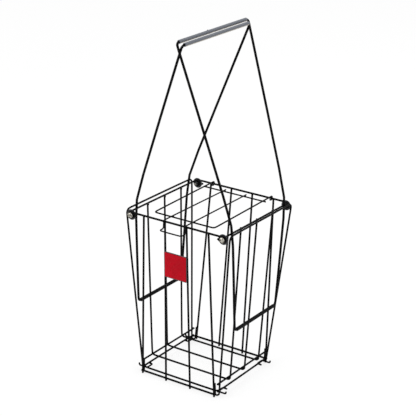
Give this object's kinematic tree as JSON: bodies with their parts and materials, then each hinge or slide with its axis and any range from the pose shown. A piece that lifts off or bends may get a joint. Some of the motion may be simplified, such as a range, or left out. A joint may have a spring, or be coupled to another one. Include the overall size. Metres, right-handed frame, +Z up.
{
  "type": "tennis ball hopper",
  "caption": "Wire basket ball hopper with floor bars that balls squeeze through, a hinged wire lid and two sliding loop handles.",
  "frame": {"origin": "middle of the bounding box on the floor that the feet stand on", "axes": "+Z up, -Y towards the front wall with the finger lip, +X to the right seen from the front"},
  "size_m": [0.2602, 0.2805, 0.758],
  "materials": {
    "coated_wire": "satin black coating over steel wire",
    "chrome_bolt": "bright plated dome",
    "dark_steel": "black washer and nut",
    "grip_grey": "matt grey-blue grip tube",
    "sleeve_black": "matt black sleeve",
    "badge_red": "plain red moulded plate"
  },
  "bodies": {
    "basket": {"left_side_frame": "coated_wire", "left_guide_wire": "coated_wire", "left_bottom_rail": "coated_wire", "right_side_frame": "coated_wire", "right_guide_wire": "coated_wire", "right_bottom_rail": "coated_wire", "front_panel": "coated_wire", "back_panel": "coated_wire", "floor_hoop_front": "coated_wire", "floor_hoop_middle": "coated_wire", "floor_hoop_back": "coated_wire", "base_ring": "coated_wire", "badge_plate": "badge_red", "corner_bolt_front_left": "chrome_bolt", "corner_washer_front_left": "dark_steel", "corner_nut_front_left": "dark_steel", "ring_catch_front_left": "coated_wire", "corner_bolt_back_left": "chrome_bolt", "corner_washer_back_left": "dark_steel", "corner_nut_back_left": "dark_steel", "ring_catch_back_left": "coated_wire", "corner_bolt_front_right": "chrome_bolt", "corner_washer_front_right": "dark_steel", "corner_nut_front_right": "dark_steel", "ring_catch_front_right": "coated_wire", "corner_bolt_back_right": "chrome_bolt", "corner_washer_back_right": "dark_steel", "corner_nut_back_right": "dark_steel", "ring_catch_back_right": "coated_wire"},
    "lid": {"lid_frame": "coated_wire", "lid_rear_bar": "coated_wire", "lid_latch_wire": "coated_wire"},
    "right_handle": {"right_handle_wire": "coated_wire", "right_grip": "grip_grey", "right_crossbar_sleeve": "sleeve_black"},
    "left_handle": {"left_handle_wire": "coated_wire", "left_grip": "grip_grey", "left_crossbar_sleeve": "sleeve_black"}
  },
  "joints": [
    {"name": "lid_hinge", "type": "hinge", "parent": "basket", "child": "lid", "pos_m": [0, 0.13325, 0.375], "axis": [-1, 0, 0], "range_deg": [0, 80]},
    {"name": "right_handle_slide", "type": "slide", "parent": "basket", "child": "right_handle", "axis": [0, 0, 1], "range_m": [0, 0.21]},
    {"name": "left_handle_slide", "type": "slide", "parent": "basket", "child": "left_handle", "axis": [0, 0, 1], "range_m": [0, 0.21]}
  ],
  "couplings": [
    {"joint": "left_handle_slide", "follows": "right_handle_slide", "ratio": 1}
  ]
}
